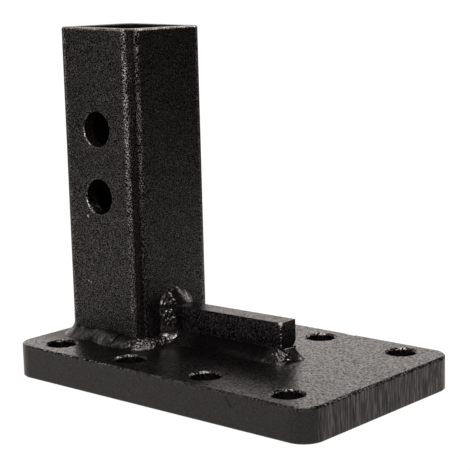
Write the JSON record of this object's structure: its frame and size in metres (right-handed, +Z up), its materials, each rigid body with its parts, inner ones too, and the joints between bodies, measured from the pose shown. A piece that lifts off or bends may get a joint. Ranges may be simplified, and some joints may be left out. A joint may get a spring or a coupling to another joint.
{
  "type": "drop hitch bracket",
  "caption": "Welded steel bracket: a square tube shank with cross pin holes stands on a thick drilled rectangular plate, stiffened by a short rib at its foot.",
  "frame": {"origin": "centre of the plate's underside, the face that the coupling bolts to", "axes": "+X along the plate from the tube towards the rib's free end, +Y across the plate along the pin holes, +Z up along the tube towards its open end"},
  "size_m": [0.186, 0.111, 0.1707],
  "materials": {
    "plate_coat": "satin textured powder coat",
    "tube_coat": "satin textured powder coat",
    "rib_coat": "satin textured powder coat",
    "weld_coat": "satin textured powder coat"
  },
  "bodies": {
    "root": {"mounting_plate": "plate_coat", "shank_tube": "tube_coat", "stiffener_rib": "rib_coat", "weld_tube_front": "weld_coat", "weld_tube_end": "weld_coat", "weld_tube_back": "weld_coat", "weld_tube_rib_near": "weld_coat", "weld_tube_rib_far": "weld_coat", "weld_rib_near": "weld_coat", "weld_rib_far": "weld_coat", "weld_rib_end": "weld_coat", "weld_rib_arch": "weld_coat"}
  },
  "joints": []
}
